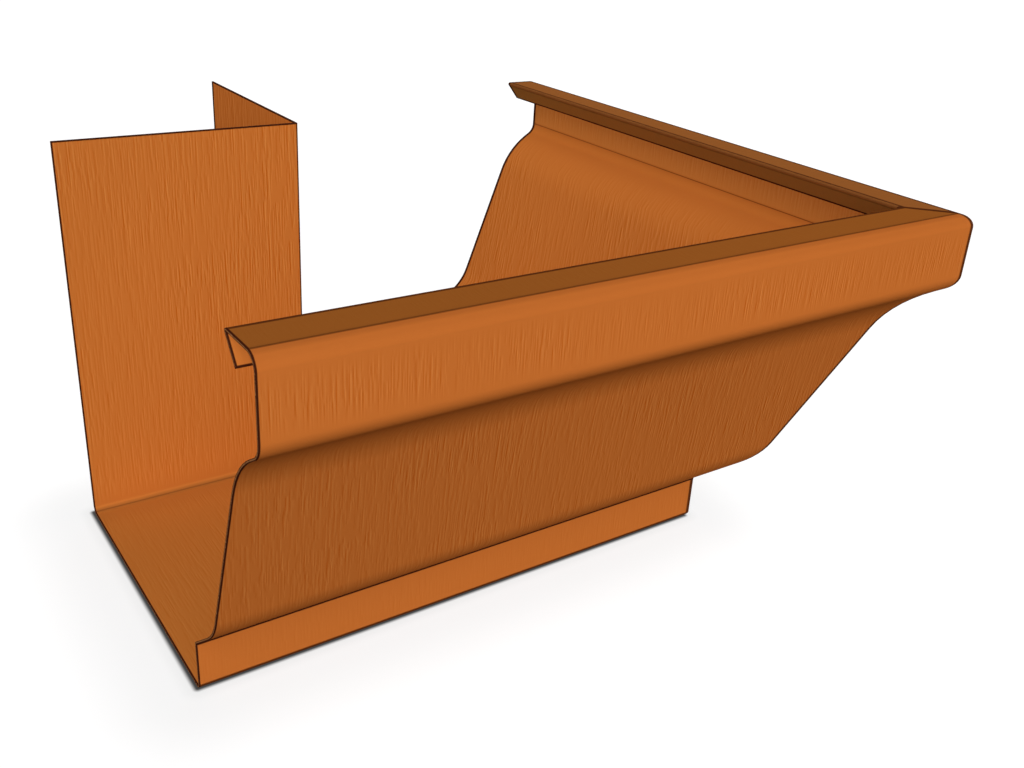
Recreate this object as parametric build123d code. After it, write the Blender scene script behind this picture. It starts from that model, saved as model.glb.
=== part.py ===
from build123d import *
from math import cos, radians, sin, tan
import os

# External angle of an ogee gutter, folded from one copper sheet.
# It carries the gutter round the outside corner of a building: two short arms stand
# against the two fascia boards and meet in a mitre at the corner.
# Sizes are in millimetres. The origin is the foot of the building corner, level with
# the underside of the sole. One arm runs along X and its front faces -Y, the other
# runs along Y and its front faces +X, and +Z is up.

# Sheet and arms
sheet = 0.6
arm_length = 76.2

# Section, measured out from the fascia board and up from the underside of the sole
back_height = 126.0
sole_width = 101.6
toe_height = 15.4
ledge_run = 15.1
ledge_rise = 12.4
top_width = 152.4
front_height = 118.8
fascia_depth = 22.5
shoulder_run = 13.1
shoulder_rise = 8.2
bead_width = 16.4
lip_length = 9.2
lip_slope = 51.7

# Bends that close round the channel, by the radius on the sheet's channel side
heel_inside = 2.2
toe_inside = 1.1
ledge_inside = 21.4
shoulder_inside = 5.1
bead_inside = 3.4
lip_inside = 0.1

# Bends that close the other way, by the radius on the sheet's outer side
toe_top_outside = 0.8
hollow_outside = 29.0

# Share of a straight that the bends at its two ends may use up together
bend_share = 0.98


def section_corners():
    # Where the straights of the outer side would meet if the folds were sharp
    back_top = Vector(0, back_height)
    heel = Vector(0, 0)
    toe = Vector(sole_width, 0)
    toe_top = toe + Vector(0, toe_height)
    ledge_end = toe_top + Vector(ledge_run, ledge_rise)
    fascia_top = Vector(top_width, front_height)
    fascia_foot = fascia_top - Vector(0, fascia_depth)
    hollow = fascia_foot - Vector(shoulder_run, shoulder_rise)
    bead_back = fascia_top - Vector(bead_width, 0)
    slope = radians(lip_slope)
    lip_end = bead_back + Vector(cos(slope), -sin(slope)) * lip_length
    lower = [back_top, heel, toe, toe_top, ledge_end]
    upper = [hollow, fascia_foot, fascia_top, bead_back, lip_end]
    return lower + upper


def bend_radii(corners):
    # Outer radius of each fold, smaller only where its straights are too short for it
    wanted = [
        heel_inside + sheet,
        toe_inside + sheet,
        toe_top_outside,
        ledge_inside + sheet,
        hollow_outside,
        shoulder_inside + sheet,
        bead_inside + sheet,
        lip_inside + sheet,
    ]
    straights = [end - start for start, end in zip(corners, corners[1:])]
    turns = [radians(a.get_angle(b)) for a, b in zip(straights, straights[1:])]
    setbacks = [radius * tan(turn / 2) for radius, turn in zip(wanted, turns)]
    used = [a + b for a, b in zip([0.0] + setbacks, setbacks + [0.0])]
    room = [min(1.0, bend_share * run.length / use) for run, use in zip(straights, used)]
    return [radius * min(a, b) for radius, a, b in zip(wanted, room, room[1:])]


def sheet_section():
    # The folded strip as a closed face, one sheet thick, seen along the arm
    corners = section_corners()
    outer_side = FilletPolyline(*corners, radius=bend_radii(corners))
    return make_face(offset(outer_side, amount=sheet, side=Side.RIGHT))


def gutter_angle():
    # One arm is run out past the corner, mitred, and joined to its mirror image
    arm_end = Plane(origin=(-arm_length, 0, 0), x_dir=(0, -1, 0), z_dir=(-1, 0, 0))
    mitre = Plane(origin=(0, 0, 0), z_dir=(1, 1, 0))
    full_run = arm_length + top_width
    run = extrude(arm_end * sheet_section(), amount=full_run, dir=(1, 0, 0))
    arm = split(run, bisect_by=mitre, keep=Keep.BOTTOM)
    return arm + mirror(arm, about=mitre)


os.makedirs("parts", exist_ok=True)
angle = gutter_angle()
export_step(angle, "parts/gutter_angle.step")
print("gutter_angle: volume", round(angle.volume), "mm3, solids", len(angle.solids()))
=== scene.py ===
from math import acos, ceil, cos, inf, pi, radians, sin, tan

import bmesh
import bpy
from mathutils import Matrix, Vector


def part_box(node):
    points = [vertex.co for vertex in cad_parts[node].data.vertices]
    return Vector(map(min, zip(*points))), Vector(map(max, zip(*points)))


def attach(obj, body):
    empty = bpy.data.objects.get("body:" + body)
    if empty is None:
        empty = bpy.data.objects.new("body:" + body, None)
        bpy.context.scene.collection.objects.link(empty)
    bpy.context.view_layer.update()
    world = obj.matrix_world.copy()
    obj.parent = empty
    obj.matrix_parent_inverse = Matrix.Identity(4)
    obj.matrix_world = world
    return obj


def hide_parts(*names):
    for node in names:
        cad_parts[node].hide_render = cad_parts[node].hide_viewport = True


# Outside corner of an ogee gutter, one folded copper sheet, on a pale floor.
# Lengths are in metres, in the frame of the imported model.
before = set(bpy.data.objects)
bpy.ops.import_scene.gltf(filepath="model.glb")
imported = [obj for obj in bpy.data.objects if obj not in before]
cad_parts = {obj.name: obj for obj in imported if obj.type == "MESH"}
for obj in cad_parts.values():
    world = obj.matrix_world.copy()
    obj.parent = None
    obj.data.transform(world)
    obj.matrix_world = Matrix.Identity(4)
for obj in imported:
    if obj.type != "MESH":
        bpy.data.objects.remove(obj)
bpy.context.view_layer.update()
low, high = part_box("gutter_angle")
print("frame loaded, box", [round(v, 4) for v in (*low, *high)])

# The folded sheet. Arm length, top width and back height come from the frame.
sheet = {
    "name": "gutterSheet",
    "thickness": 0.0006,
    "armLength": -low.x,
    "topWidth": high.x,
    "backHeight": high.z,
    "frontHeight": 0.1188,
    "soleWidth": 0.1016,
    "toeHeight": 0.0154,
    "ledgeRun": 0.0151,
    "ledgeRise": 0.0124,
    "fasciaDepth": 0.0225,
    "shoulderRun": 0.0131,
    "shoulderRise": 0.0082,
    "beadWidth": 0.0164,
    "lipLength": 0.0092,
    "lipSlope": 51.7,
    # outer radius of each fold, in order from the heel to the lip
    "bends": {
        "heel": 0.0028,
        "toe": 0.0017,
        "toeTop": 0.0008,
        "ledge": 0.0220,
        "hollow": 0.0290,
        "shoulder": 0.0057,
        "bead": 0.0040,
        "lip": 0.0007,
    },
    "bendStep": 6.0,      # most degrees of turn in one facet of a fold
    "gridStep": 0.006,    # longest side of a face on the flats
    "sides": ["outside", "channel", "edge"],    # in the order of the materials
    # The map of each arm: where it starts, its scale, and how strongly the grain shows at
    # the arm's end and at the mitre. The strokes of a side drift along the arm for each
    # unit that the ogee stands out: so much at the end, and so much more per metre.
    "maps": {
        "near": {
            "start": 0.0,
            "scale": 1.0,
            "show": (0.72, 1.45),
            "drift": {"outside": (0.25, 3.5), "channel": (0.0, 0.0), "edge": (0.0, 0.0)},
        },
        "far": {
            "start": 1.0,
            "scale": 0.62,
            "show": (1.25, 0.70),
            "drift": {"outside": (0.0, 0.0), "channel": (0.8, 0.0), "edge": (0.0, 0.0)},
        },
    },
    # how strongly the brushed grain shows on each straight, in order from the back
    "grain": {
        "outside": [1.0, 0.5, 0.3, 0.1, 1.1, 0.0, 1.0, 0.2, 0.1],
        "channel": [1.2, 0.5, 0.2, 0.6, 0.9, 0.0, 0.4, 0.1, 0.1],
    },
    "grainFade": 0.005,   # the grain dies out this far from a tight fold
    "tightBend": 0.010,   # folds rounder than this keep their grain
}


def sectionCorners(s):
    # sharp corners of the outer side: x runs out from the fascia board, y up
    toeTop = Vector((s["soleWidth"], s["toeHeight"]))
    fasciaTop = Vector((s["topWidth"], s["frontHeight"]))
    fasciaFoot = fasciaTop - Vector((0, s["fasciaDepth"]))
    beadBack = fasciaTop - Vector((s["beadWidth"], 0))
    slope = radians(s["lipSlope"])
    lipEnd = beadBack + Vector((cos(slope), -sin(slope))) * s["lipLength"]
    return [
        Vector((0, s["backHeight"])),
        Vector((0, 0)),
        Vector((s["soleWidth"], 0)),
        toeTop,
        toeTop + Vector((s["ledgeRun"], s["ledgeRise"])),
        fasciaFoot - Vector((s["shoulderRun"], s["shoulderRise"])),
        fasciaFoot,
        fasciaTop,
        beadBack,
        lipEnd,
    ]


def leftOf(v):
    return Vector((-v.y, v.x))


def turned(v, angle):
    return Vector((v.x * cos(angle) - v.y * sin(angle), v.x * sin(angle) + v.y * cos(angle)))


def foldedPath(s):
    # Rows of the outer side, each a place and its normal towards the channel, and the
    # first and last row of each fold.
    corners = sectionCorners(s)
    rows, folds = [], {}
    start = corners[0]
    for i, (name, radius) in enumerate(s["bends"].items(), 1):
        come = (corners[i] - corners[i - 1]).normalized()
        go = (corners[i + 1] - corners[i]).normalized()
        turn = acos(come.dot(go))
        hand = 1 if come.cross(go) > 0 else -1
        foldStart = corners[i] - come * radius * tan(turn / 2)
        rows += flatRows(start, foldStart, s["gridStep"])
        centre = foldStart + leftOf(come) * radius * hand
        steps = ceil(turn / radians(s["bendStep"]))
        folds[name] = [len(rows), len(rows) + steps]
        for k in range(steps + 1):
            spoke = turned(leftOf(come) * -hand, turn * k / steps * hand)
            rows.append((centre + spoke * radius, spoke * -hand))
        start = rows.pop()[0]    # the next straight begins with this row
    rows += flatRows(start, corners[-1], s["gridStep"])
    rows.append((corners[-1], leftOf(go)))
    return rows, folds


def flatRows(start, end, step):
    # every row but the last, which the next fold begins with
    count = max(1, ceil((end - start).length / step))
    normal = leftOf((end - start).normalized())
    return [(start.lerp(end, k / count), normal) for k in range(count)]


rows, folds = foldedPath(sheet)
girth = [0.0]
for (a, _), (b, _) in zip(rows, rows[1:]):
    girth.append(girth[-1] + (b - a).length)
foldPlaces = {name: [girth[a], girth[b]] for name, (a, b) in folds.items()}
foldPlaces["edge"] = [girth[-1], girth[-1]]
print("section:", len(rows), "rows,", len(folds), "folds, girth", round(girth[-1], 4))


def grainAt(g, s, side):
    # strength of the grain at one place round the section
    strengths = s["grain"][side]
    tightBefore, before = False, 0.0
    for i, (name, (start, end)) in enumerate(foldPlaces.items()):
        tight = name != "edge" and s["bends"][name] < s["tightBend"]
        if g < start or name == "edge":
            # on a straight, the grain dies out towards tight folds
            gap = min(g - before if tightBefore else inf, start - g if tight else inf)
            return strengths[i] * min(1.0, gap / s["grainFade"])
        if g <= end:
            # a wide fold takes the grain over from one straight to the next
            share = (g - start) / (end - start)
            return 0.0 if tight else strengths[i] * (1 - share) + strengths[i + 1] * share
        tightBefore, before = tight, end


def inSpace(out, up, along, far):
    # a place or a direction: out from the fascia board, up, and along the arm to the mitre
    return Vector((out, -along, up)) if far else Vector((along, -out, up))


def outerNormal(i):
    return (*-rows[i][1], 0)


def innerNormal(i):
    return (*rows[i][1], 0)


def endNormal(i):
    return 0, 0, -1


def rimNormal(i):
    # the first row is the top of the back wall, the last one the end of the lip
    return (*leftOf(rows[i][1]) * (-1 if i else 1), 0)


def sheetMesh(s):
    # the section is carried along one arm to the mitre and back along the other
    arm = s["armLength"]
    half = ceil((arm + s["topWidth"]) / s["gridStep"])
    end, last = 2 * half, len(rows) - 1
    ogeeFoot, ogeeHead = [corner.x for corner in sectionCorners(s)[4:6]]
    ogeeMiddle = (ogeeFoot + ogeeHead) / 2
    bm = bmesh.new()
    mapLayer = bm.loops.layers.uv.new("sheetMap")
    grainLayer = bm.verts.layers.float.new("grain")
    depthLayer = bm.verts.layers.float.new("depth")
    normals = []

    def pointGrid(depth, side):
        # one line of points, a point for each row, at each station along the arms
        grid = []
        for k in range(end + 1):
            far = k > half
            atEnd, atMitre = s["maps"]["far" if far else "near"]["show"]
            line = []
            for (place, normal), g in zip(rows, girth):
                p = place + normal * depth * s["thickness"]
                fromEnd = (arm + p.x) * min(k, end - k) / half
                v = bm.verts.new(inSpace(p.x, p.y, fromEnd - arm, far))
                show = atEnd + (atMitre - atEnd) * fromEnd / (arm + s["topWidth"])
                v[grainLayer] = show * grainAt(g, s, side)
                v[depthLayer] = depth
                line.append(v)
            grid.append(line)
        return grid

    def addFace(cells, side, normalAt, flip):
        # cells give the grid, the station and the row of each corner
        if flip:
            cells = cells[::-1]
        face = bm.faces.new([grid[k][i] for grid, k, i in cells])
        face.material_index = s["sides"].index(side)
        face.smooth = True
        far = min(k for grid, k, i in cells) >= half
        armMap = s["maps"]["far" if far else "near"]
        drift, gain = armMap["drift"][side]
        for loop, (grid, k, i) in zip(face.loops, cells):
            co = loop.vert.co
            run, out = (arm - co.y, co.x) if far else (arm + co.x, -co.y)
            standOut = min(max(out, ogeeFoot), ogeeHead) - ogeeMiddle
            along = run + (drift + gain * run) * standOut
            loop[mapLayer].uv = (armMap["start"] + armMap["scale"] * along, girth[i])
            normals.append(inSpace(*normalAt(i), far))

    outer, inner = pointGrid(0, "outside"), pointGrid(1, "channel")
    faceSides = (outer, "outside", outerNormal, False), (inner, "channel", innerNormal, True)
    for k in range(end):
        for i in range(last):
            for grid, side, normalAt, flip in faceSides:
                cells = [(grid, k, i), (grid, k + 1, i), (grid, k + 1, i + 1), (grid, k, i + 1)]
                addFace(cells, side, normalAt, flip)
    # the cut ends of the arms, then the two long edges
    for i in range(last):
        for k in (0, end):
            cells = [(outer, k, i), (outer, k, i + 1), (inner, k, i + 1), (inner, k, i)]
            addFace(cells, "edge", endNormal, flip=k == end)
    for k in range(end):
        for i in (0, last):
            cells = [(outer, k, i), (inner, k, i), (inner, k + 1, i), (outer, k + 1, i)]
            addFace(cells, "edge", rimNormal, flip=i == last)
    mesh = bpy.data.meshes.new(s["name"])
    bm.to_mesh(mesh)
    bm.free()
    mesh.normals_split_custom_set(normals)
    return mesh


sheetObject = bpy.data.objects.new(sheet["name"], sheetMesh(sheet))
bpy.context.scene.collection.objects.link(sheetObject)
print("sheet:", len(sheetObject.data.polygons), "faces")


def fill(tree, socket, value):
    # link another node's output to the socket, or set a plain value
    if isinstance(value, bpy.types.NodeSocket):
        tree.links.new(value, socket)
    else:
        socket.default_value = value


def put(tree, kind, settings=None, **inputs):
    # add a node, set its options and fill its inputs, by name or by number as in _0
    node = tree.nodes.new(kind)
    for key, value in (settings or {}).items():
        setattr(node, key, value)
    for key, value in inputs.items():
        label = int(key[1:]) if key.startswith("_") else key.replace("_", " ")
        fill(tree, node.inputs[label], value)
    return node


def calc(tree, operation, *values):
    node = put(tree, "ShaderNodeMath", {"operation": operation})
    for socket, value in zip(node.inputs, values):
        fill(tree, socket, value)
    return node.outputs[0]


def vectorCalc(tree, operation, *values, **named):
    node = put(tree, "ShaderNodeVectorMath", {"operation": operation}, **named)
    for socket, value in zip(node.inputs, values):
        fill(tree, socket, value)
    return node.outputs["Value" if operation == "LENGTH" else "Vector"]


def ramp(tree, value, start, end, atStart=0.0, atEnd=1.0):
    # smooth step from one level to another
    node = put(tree, "ShaderNodeMapRange", {"interpolation_type": "SMOOTHSTEP"}, Value=value,
               From_Min=start, From_Max=end, To_Min=atStart, To_Max=atEnd)
    return node.outputs[0]


def mixColours(tree, share, first, second):
    # 6, 7 and output 2 are the sockets that the node keeps for colours
    node = put(tree, "ShaderNodeMix", {"data_type": "RGBA"}, _0=share, _6=first, _7=second)
    return node.outputs[2]


def newGroup(name, inputs, outputs):
    # every socket is a number, apart from an input without a value, which is a vector
    group = bpy.data.node_groups.new(name, "ShaderNodeTree")
    for label, value in inputs.items():
        kind = "NodeSocketVector" if value is None else "NodeSocketFloat"
        socket = group.interface.new_socket(label, in_out="INPUT", socket_type=kind)
        if value is not None:
            socket.default_value = value
    for label in outputs:
        group.interface.new_socket(label, in_out="OUTPUT", socket_type="NodeSocketFloat")
    given = group.nodes.new("NodeGroupInput").outputs
    result = group.nodes.new("NodeGroupOutput").inputs
    return group, given, result


def useGroup(tree, group, **inputs):
    return put(tree, "ShaderNodeGroup", {"node_tree": group}, **inputs).outputs


# What the brushed grain keeps to itself, wherever it is used.
grainForm = {
    "columnStep": 7.31,           # takes each column to another part of the noise
    "strokeFade": (0.56, 0.65),   # levels of the noise between which a stroke fades in
    "coarseShift": 300.0,         # the coarse strokes have columns of their own
    "coarseRate": 0.66,           # coarse columns to one fine column
    "coarseShare": 0.8,
    "patchFade": (0.40, 0.60),
    "patchShow": (0.68, 1.08),    # strength of the weakest and the strongest patches
}


def grainGroup(f):
    # fine straight scores of a brushed finish, each with a pale and a deep flank
    g, given, result = newGroup(
        "brushedGrain",
        {"Across": 0.0, "Along": 0.0, "Stroke Width": 0.0004, "Stroke Length": 0.008,
         "Patch Size": 0.02, "Show": 1.0},
        ["Stroke", "Height"],
    )
    across = calc(g, "DIVIDE", given["Across"], given["Stroke Width"])
    along = calc(g, "DIVIDE", given["Along"], given["Stroke Length"])

    def noiseAt(x, y, **values):
        spot = put(g, "ShaderNodeCombineXYZ", X=x, Y=y).outputs[0]
        noise = put(g, "ShaderNodeTexNoise", {"noise_dimensions": "2D"}, Vector=spot, **values)
        return noise.outputs["Fac"]

    def strokes(shift, rate):
        # each column of the sheet has its own run of strokes
        column = calc(g, "FLOOR", calc(g, "MULTIPLY_ADD", across, rate, shift))
        level = noiseAt(calc(g, "MULTIPLY", column, f["columnStep"]), along, Scale=1.0, Detail=0.0)
        return ramp(g, level, *f["strokeFade"])

    def scores(shift, rate):
        return calc(g, "SUBTRACT", strokes(shift, rate), strokes(shift + 1.0, rate))

    coarse = scores(f["coarseShift"], f["coarseRate"])
    both = calc(g, "MULTIPLY_ADD", coarse, f["coarseShare"], scores(0.0, 1.0))
    cloud = noiseAt(given["Across"], given["Along"], Detail=1.0, Roughness=0.5,
                    Scale=calc(g, "DIVIDE", 1.0, given["Patch Size"]))
    patch = ramp(g, cloud, *f["patchFade"], *f["patchShow"])
    stroke = calc(g, "MULTIPLY", both, calc(g, "MULTIPLY", given["Show"], patch))
    fill(g, result["Stroke"], stroke)
    fill(g, result["Height"], calc(g, "MULTIPLY_ADD", stroke, 0.5, 0.5))    # to between 0 and 1
    return g


def lineGroup():
    # a mark that runs along the arm at one place in the girth: narrow, a dark line along a fold;
    # wide and soft, painted shade over a fold
    g, given, result = newGroup(
        "foldLineAndShade",
        {"Girth": 0.0, "Place": 0.0, "Half Width": 0.0003, "Softness": 0.6, "Strength": 1.0},
        ["Mask"],
    )
    gap = calc(g, "ABSOLUTE", calc(g, "SUBTRACT", given["Girth"], given["Place"]))
    share = calc(g, "DIVIDE", gap, given["Half Width"])
    core = calc(g, "SUBTRACT", 1.0, given["Softness"])
    mark = ramp(g, share, core, 1.0, 1.0, 0.0)
    fill(g, result["Mask"], calc(g, "MULTIPLY", mark, given["Strength"]))
    return g


def bandGroup():
    # the part of the sheet between two places in its girth
    g, given, result = newGroup(
        "girthBand",
        {"Girth": 0.0, "Start": 0.0, "End": 0.1, "Fade": 0.0004},
        ["Mask"],
    )
    middle = calc(g, "MULTIPLY", calc(g, "ADD", given["Start"], given["End"]), 0.5)
    reach = calc(g, "SUBTRACT", given["End"], middle)
    core = calc(g, "SUBTRACT", reach, given["Fade"])
    gap = calc(g, "ABSOLUTE", calc(g, "SUBTRACT", given["Girth"], middle))
    fill(g, result["Mask"], ramp(g, gap, core, reach, 1.0, 0.0))
    return g


def edgeGroup():
    # tarnish that creeps in from the cut edges, and along the closed mitre
    g, given, result = newGroup(
        "edgeTarnish",
        {"Place": None, "Girth": 0.0, "Arm End": 0.0762, "Girth End": 0.4,
         "Near Width": 0.0003, "Far Width": 0.0003, "Mitre Width": 0.0003},
        ["Edge", "Mitre"],
    )
    solid = 0.6    # share of a width that is dark throughout

    def rim(gap, width):
        return ramp(g, calc(g, "DIVIDE", gap, width), solid, 1.0, 1.0, 0.0)

    xyz = put(g, "ShaderNodeSeparateXYZ", Vector=given["Place"]).outputs
    nearEnd = rim(calc(g, "ADD", xyz["X"], given["Arm End"]), given["Near Width"])
    farEnd = rim(calc(g, "SUBTRACT", given["Arm End"], xyz["Y"]), given["Far Width"])
    left = calc(g, "SUBTRACT", given["Girth End"], given["Girth"])
    longEdges = rim(calc(g, "MINIMUM", given["Girth"], left), given["Near Width"])
    ends = calc(g, "MAXIMUM", nearEnd, farEnd)
    fill(g, result["Edge"], calc(g, "MAXIMUM", ends, longEdges))
    fromMitre = calc(g, "ABSOLUTE", calc(g, "ADD", xyz["X"], xyz["Y"]))
    fill(g, result["Mitre"], rim(fromMitre, given["Mitre Width"]))
    return g


def toneGroup():
    # slow changes of tone over the sheet
    g, given, result = newGroup(
        "slowTone",
        {"Place": None, "Patch Size": 0.05, "Amount": 0.05},
        ["Tone"],
    )
    scale = calc(g, "DIVIDE", 1.0, given["Patch Size"])
    noise = put(g, "ShaderNodeTexNoise", {"noise_dimensions": "3D"}, Vector=given["Place"],
                Scale=scale, Detail=2.0, Roughness=0.45)
    shifted = calc(g, "SUBTRACT", noise.outputs["Fac"], 0.5)
    fill(g, result["Tone"], calc(g, "MULTIPLY_ADD", shifted, given["Amount"], 1.0))
    return g


brushedGrain, foldLineAndShade, girthBand = grainGroup(grainForm), lineGroup(), bandGroup()
edgeTarnish, slowTone = edgeGroup(), toneGroup()
print("shader groups:", [group.name for group in bpy.data.node_groups])

# Finish of the sheet. The metal values hold for the cut edge too.
finish = {
    "metallic": 0.06,
    "specular": 0.0,
    "specularTint": (0.80, 0.42, 0.20, 1),
    "roughness": 0.5,
    "lineAndShadeBrown": (0.045, 0.010, 0.004, 1),
    "strokeWidth": 0.00031,
    "strokeLength": 0.013,
    "strokePatch": 0.03,
    "strokeTint": (0.082, 0.195, 0.36),   # how far a stroke moves red, green and blue
    "strokeRoughness": 0.04,
    "strokeDepth": 0.000005,
    "toneAmount": 0.06,
    "tonePatch": 0.06,
    "nearEdge": 0.00055,      # width of the tarnish at the near arm's end and the long edges
    "farEdge": 0.0019,
    "mitreStrength": 0.9,
}
# The two faces. A band runs from one fold to another in a tone of its own, which stands in for how
# the light falls
# there: painted shade where it is darker than the copper, painted light where it is lighter. Its
# columns: where it starts and where it ends, each a fold and a share of its width, then fade,
# colour.
# A mark sits in a fold: share of the fold's width, half width, softness, strength. A narrow, strong
# mark is a dark line along the fold; a wide, soft one is painted shade. The last word says which
# arm has it.
faces = {
    "sheetOutside": {
        "copper": (0.530, 0.1465, 0.0262, 1),
        "paintedShadingBands": [
            # painted shade: the flat top of the bead and the lip, darker and browner than the
            # copper, with a tone of their own on the far arm
            (("bead", 0.86), ("lip", 0.9), 0.0003, (0.285, 0.0905, 0.0158, 1), "both"),
            (("bead", 0.86), ("lip", 0.9), 0.0003, (0.283, 0.0980, 0.0240, 1), "far"),
            (("lip", 0.85), ("edge", 1.0), 0.0002, (0.38, 0.180, 0.042, 1), "both"),
        ],
        "marks": [
            ("heel", 0.0, 0.00025, 0.6, 0.45, "both"),
            ("heel", 1.0, 0.00025, 0.6, 0.45, "both"),
            ("toe", 0.6, 0.0013, 0.4, 0.85, "both"),
            ("toeTop", 0.65, 0.0008, 0.4, 1.0, "both"),
            # painted shade: the next two dim the light the bead's fold catches
            ("bead", 0.45, 0.0033, 1.0, 0.20, "both"),
            ("bead", 0.74, 0.0026, 1.0, 0.27, "near"),
            ("bead", 0.91, 0.0005, 0.5, 0.6, "near"),
            ("bead", 0.88, 0.0016, 0.4, 0.85, "far"),
            ("lip", -0.2, 0.0007, 0.4, 0.8, "both"),
            # painted shade: dims the light the lip's fold catches
            ("lip", 0.8, 0.0011, 0.4, 0.40, "both"),
            ("edge", 1.0, 0.0010, 0.4, 1.0, "both"),
        ],
        "mitreWidth": 0.0017,
    },
    "sheetChannelSide": {
        "copper": (0.512, 0.152, 0.0267, 1),
        "paintedShadingBands": [
            # painted shade: the channel's floor and the inside of the ogee, a little darker than
            # the copper
            (("heel", 0.0), ("toe", 0.5), 0.003, (0.470, 0.155, 0.0286, 1), "both"),
            (("toe", 1.0), ("shoulder", 0.5), 0.004, (0.494, 0.145, 0.0262, 1), "both"),
            # painted light: the inside of the fascia, lighter, where the bead shades it
            (("shoulder", 1.0), ("bead", 0.5), 0.001, (0.563, 0.193, 0.0387, 1), "both"),
        ],
        "marks": [
            # painted shade: the next two dim the light the heel's fold catches
            ("heel", 0.12, 0.0014, 1.0, 0.11, "both"),
            ("heel", 0.62, 0.0022, 0.9, 0.38, "both"),
            ("heel", 0.65, 0.00045, 0.5, 0.60, "both"),
            # painted shade: wide and faint, darker round the inside corner of the heel
            ("heel", 1.0, 0.0120, 1.0, 0.09, "both"),
            ("shoulder", 1.0, 0.00025, 0.6, 0.6, "both"),
            ("toe", 0.5, 0.0004, 0.6, 0.4, "both"),
            ("bead", 0.5, 0.0004, 0.6, 0.4, "both"),
        ],
        "mitreWidth": 0.0006,
    },
}
# The sheared edge: darkened, with fine drag marks across the thickness, and a core of bare
# metal at the arms' ends.
cutEdge = {
    "brown": (0.060, 0.020, 0.010, 1),
    "core": (0.300, 0.125, 0.045, 1),
    "coreReach": (0.10, 0.30),    # share of the thickness, from its middle
    "coreFade": 0.0005,           # it dies out this far from the long edges
    "roughness": 0.6,
    "dragWidth": 0.0004,
    "dragLength": 0.002,
    "dragPatch": 0.004,
    "dragTint": 0.3,
    "dragRoughness": 0.1,
    "dragDepth": 0.00002,
    "toneAmount": 0.5,
    "tonePatch": 0.01,
}


def foldPlace(name, share):
    start, end = foldPlaces[name]
    return start + (end - start) * share


def newMaterial(name):
    material = bpy.data.materials.new(name)
    material.use_nodes = True
    material.node_tree.nodes.clear()
    return material, material.node_tree


def onSheet(t):
    # places in the sheet's map, along the arm and round the girth, and in the object
    uv = put(t, "ShaderNodeUVMap", {"uv_map": "sheetMap"}).outputs["UV"]
    flat = put(t, "ShaderNodeSeparateXYZ", Vector=uv).outputs
    return flat["X"], flat["Y"], put(t, "ShaderNodeTexCoord").outputs["Object"]


def putMetal(t, f, colour, rough, depth, height):
    bump = put(t, "ShaderNodeBump", Strength=1.0, Distance=depth, Height=height)
    shader = put(t, "ShaderNodeBsdfPrincipled", Base_Color=colour, Roughness=rough,
                 Metallic=f["metallic"], Specular_IOR_Level=f["specular"],
                 Specular_Tint=f["specularTint"], Normal=bump.outputs[0])
    put(t, "ShaderNodeOutputMaterial", Surface=shader.outputs[0])


def sheetMaterial(name, f, own):
    material, t = newMaterial(name)
    run, walk, place = onSheet(t)
    show = put(t, "ShaderNodeAttribute", {"attribute_name": "grain"}).outputs["Fac"]
    strokes = useGroup(t, brushedGrain, Across=run, Along=walk, Show=show,
                       Stroke_Width=f["strokeWidth"], Stroke_Length=f["strokeLength"],
                       Patch_Size=f["strokePatch"])
    tone = useGroup(t, slowTone, Place=place, Patch_Size=f["tonePatch"], Amount=f["toneAmount"])
    edges = useGroup(t, edgeTarnish, Place=place, Girth=walk, Arm_End=sheet["armLength"],
                     Girth_End=girth[-1], Near_Width=f["nearEdge"], Far_Width=f["farEdge"],
                     Mitre_Width=own["mitreWidth"])
    # the near arm's map ends long before this place, and the far arm's begins after it
    far = calc(t, "GREATER_THAN", run, sheet["maps"]["far"]["start"] / 2)
    arms = {"far": far, "near": calc(t, "SUBTRACT", 1.0, far), "both": 1.0}
    mitre = calc(t, "MULTIPLY", edges["Mitre"], f["mitreStrength"])
    dark = calc(t, "MAXIMUM", edges["Edge"], mitre)
    # dark lines at the cut edges, the mitre and the folds, with painted shade over some folds, all
    # towards one brown
    for fold, share, halfWidth, softness, strength, arm in own["marks"]:
        line = useGroup(t, foldLineAndShade, Girth=walk, Place=foldPlace(fold, share),
                        Half_Width=halfWidth, Softness=softness,
                        Strength=calc(t, "MULTIPLY", arms[arm], strength))
        dark = calc(t, "MAXIMUM", dark, line["Mask"])
    colour = own["copper"]
    for start, end, fade, shadingColour, arm in own["paintedShadingBands"]:
        band = useGroup(t, girthBand, Girth=walk, Start=foldPlace(*start),
                        End=foldPlace(*end), Fade=fade)
        mask = calc(t, "MULTIPLY", band["Mask"], arms[arm])
        colour = mixColours(t, mask, colour, shadingColour)
    shift = vectorCalc(t, "SCALE", f["strokeTint"], Scale=strokes["Stroke"])
    level = vectorCalc(t, "ADD", shift, tone["Tone"])
    colour = mixColours(t, dark, vectorCalc(t, "MULTIPLY", colour, level), f["lineAndShadeBrown"])
    rough = calc(t, "MULTIPLY_ADD", strokes["Stroke"], f["strokeRoughness"], f["roughness"])
    putMetal(t, f, colour, rough, f["strokeDepth"], strokes["Height"])
    return material


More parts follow.
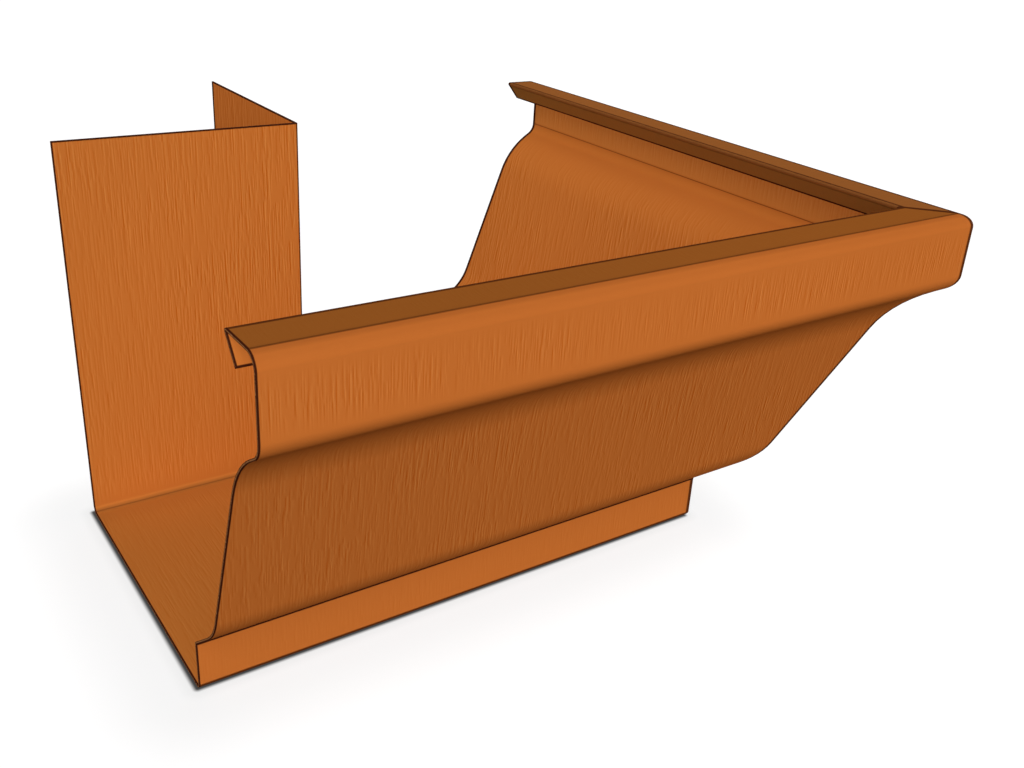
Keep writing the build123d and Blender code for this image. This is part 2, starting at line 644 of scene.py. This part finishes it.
def edgeMaterial(f, own):
    material, t = newMaterial("cutEdge")
    run, walk, place = onSheet(t)
    drag = useGroup(t, brushedGrain, Across=calc(t, "ADD", run, walk), Along=0.0, Show=1.0,
                    Stroke_Width=own["dragWidth"], Stroke_Length=own["dragLength"],
                    Patch_Size=own["dragPatch"])
    tone = useGroup(t, slowTone, Place=place, Patch_Size=own["tonePatch"],
                    Amount=own["toneAmount"])
    level = calc(t, "MULTIPLY_ADD", drag["Stroke"], own["dragTint"], 1.0)
    level = calc(t, "MULTIPLY", level, tone["Tone"])
    depth = put(t, "ShaderNodeAttribute", {"attribute_name": "depth"}).outputs["Fac"]
    fromMiddle = calc(t, "ABSOLUTE", calc(t, "SUBTRACT", depth, 0.5))
    core = ramp(t, fromMiddle, *own["coreReach"], 1.0, 0.0)
    # only the arms' ends show bare metal, not the edges that run along them
    inward = calc(t, "MINIMUM", walk, calc(t, "SUBTRACT", girth[-1], walk))
    atEnd = put(t, "ShaderNodeMapRange", Value=inward, From_Min=0.0, From_Max=own["coreFade"])
    bare = calc(t, "MULTIPLY", core, atEnd.outputs[0])
    colour = vectorCalc(t, "SCALE", mixColours(t, bare, own["brown"], own["core"]), Scale=level)
    rough = calc(t, "MULTIPLY_ADD", drag["Stroke"], own["dragRoughness"], own["roughness"])
    putMetal(t, f, colour, rough, own["dragDepth"], drag["Height"])
    return material


for name, own in faces.items():
    sheetObject.data.materials.append(sheetMaterial(name, finish, own))
sheetObject.data.materials.append(edgeMaterial(finish, cutEdge))
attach(sheetObject, "root")
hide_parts("gutter_angle")
print("materials:", [m.name for m in sheetObject.data.materials])

# Pale floor, white where the light reaches it, with a shadow painted round the sole.
floorLook = {
    "size": 12.0,
    "drop": 0.0002,       # under the sole
    "ownLight": 0.905,
    "paint": 0.18,
    "bounce": 0.06,       # grey that the floor throws back on the object
    # painted shadow: soft grey round the sole, and dark where it meets the floor: from, to, how
    # dark
    "paintedShadows": [(0.006, 0.040, 0.12), (0.001, 0.006, 0.07), (0.0003, 0.0019, 0.93)],
    "toeShare": 0.7,      # share of the toe's radius that stands clear of the floor
}


def showsWhite(t):
    # camera, mirror and see-through rays meet the white background
    path = put(t, "ShaderNodeLightPath").outputs
    seen = calc(t, "MAXIMUM", path["Is Camera Ray"], path["Is Glossy Ray"])
    return calc(t, "MAXIMUM", seen, path["Is Transmission Ray"])


def gapToSole(t, f):
    # distance on the floor to the L of the sole, from the two oblongs that make it
    place = put(t, "ShaderNodeTexCoord").outputs["Object"]
    arm = sheet["armLength"]
    wide = sheet["soleWidth"] - f["toeShare"] * sheet["bends"]["toe"]
    gaps = []
    for x, y in (((-arm, wide), (-wide, 0)), ((0, wide), (-wide, arm))):
        middle = ((x[0] + x[1]) / 2, (y[0] + y[1]) / 2, 0)
        reach = ((x[1] - x[0]) / 2, (y[1] - y[0]) / 2, 1)
        step = vectorCalc(t, "ABSOLUTE", vectorCalc(t, "SUBTRACT", place, middle))
        past = vectorCalc(t, "MAXIMUM", vectorCalc(t, "SUBTRACT", step, reach), (0, 0, 0))
        gaps.append(vectorCalc(t, "LENGTH", past))
    return calc(t, "MINIMUM", *gaps)


def makeFloor(f):
    mesh = bpy.data.meshes.new("floor")
    h = f["size"] / 2
    mesh.from_pydata([(-h, -h, 0), (h, -h, 0), (h, h, 0), (-h, h, 0)], [], [(0, 1, 2, 3)])
    floor = bpy.data.objects.new("floor", mesh)
    floor.location.z = low.z - f["drop"]
    bpy.context.scene.collection.objects.link(floor)
    material, t = newMaterial("paleFloor")
    gap = gapToSole(t, f)
    clear = 1.0
    # the painted shadow darkens the floor by its distance to the sole
    for start, end, darkness in f["paintedShadows"]:
        clear = calc(t, "MULTIPLY", clear, ramp(t, gap, start, end, 1.0 - darkness, 1.0))
    grey = put(t, "ShaderNodeCombineXYZ", X=clear, Y=clear, Z=clear).outputs[0]
    paint = put(t, "ShaderNodeBsdfDiffuse", Color=vectorCalc(t, "SCALE", grey, Scale=f["paint"]))
    glow = put(t, "ShaderNodeEmission", Color=grey, Strength=f["ownLight"])
    shown = put(t, "ShaderNodeAddShader", _0=paint.outputs[0], _1=glow.outputs[0])
    dim = put(t, "ShaderNodeBsdfDiffuse", Color=(f["bounce"],) * 3 + (1,))
    mix = put(t, "ShaderNodeMixShader", _0=showsWhite(t), _1=dim.outputs[0], _2=shown.outputs[0])
    put(t, "ShaderNodeOutputMaterial", Surface=mix.outputs[0])
    mesh.materials.append(material)


makeFloor(floorLook)

# Soft light: where each lamp stands from the object, its level, its spread in degrees.
lights = {
    "keyLight": {"towards": (-0.47, -0.70, 0.54), "level": 0.45, "spread": 60, "shadow": True},
    "frontFill": {"towards": (-0.47, -0.70, 0.54), "level": 0.85, "spread": 60, "shadow": False},
    "rearLight": {"towards": (0.70, 0.70, 0.12), "level": 0.55, "spread": 60, "shadow": True},
}
# The room around: what it lights the object with, and what is seen of it.
room = {"ambient": 0.03, "seen": 1.0}


def addLight(name, towards, level, spread, shadow):
    lamp = bpy.data.lights.new(name, "SUN")
    lamp.use_shadow = shadow
    lamp.energy = level * pi    # so that level 1 lights a facing white sheet to white
    lamp.angle = radians(spread)
    obj = bpy.data.objects.new(name, lamp)
    obj.rotation_euler = Vector(towards).to_track_quat("Z", "Y").to_euler()
    bpy.context.scene.collection.objects.link(obj)


def makeWorld(f):
    world = bpy.data.worlds.new("studio")
    bpy.context.scene.world = world
    world.use_nodes = True
    t = world.node_tree
    t.nodes.clear()
    ambient = put(t, "ShaderNodeBackground", Color=(1, 1, 1, 1), Strength=f["ambient"])
    seen = put(t, "ShaderNodeBackground", Color=(1, 1, 1, 1), Strength=f["seen"])
    mix = put(t, "ShaderNodeMixShader", _0=showsWhite(t), _1=ambient.outputs[0], _2=seen.outputs[0])
    put(t, "ShaderNodeOutputWorld", Surface=mix.outputs[0])


for name, values in lights.items():
    addLight(name, **values)
makeWorld(room)
print("stage and", len(lights), "lamps placed")

# Camera as in the photograph.
view = {
    "place": (-0.145099, -0.331086, 0.204161),
    "turn": (65.559, -3.3214, -34.4098),
    "sensor": 36,
    "lens": 38.0133,
    "shift": (-0.00219, -0.01829),
    "nearClip": 0.01,
}
cameraData = bpy.data.cameras.new("photoView")
cameraData.sensor_width = view["sensor"]
cameraData.lens = view["lens"]
cameraData.shift_x, cameraData.shift_y = view["shift"]
cameraData.clip_start = view["nearClip"]
camera = bpy.data.objects.new("photoView", cameraData)
camera.location = view["place"]
camera.rotation_euler = [radians(v) for v in view["turn"]]
bpy.context.scene.collection.objects.link(camera)
bpy.context.scene.camera = camera
bpy.context.scene.view_settings.view_transform = "Standard"
print("camera placed")
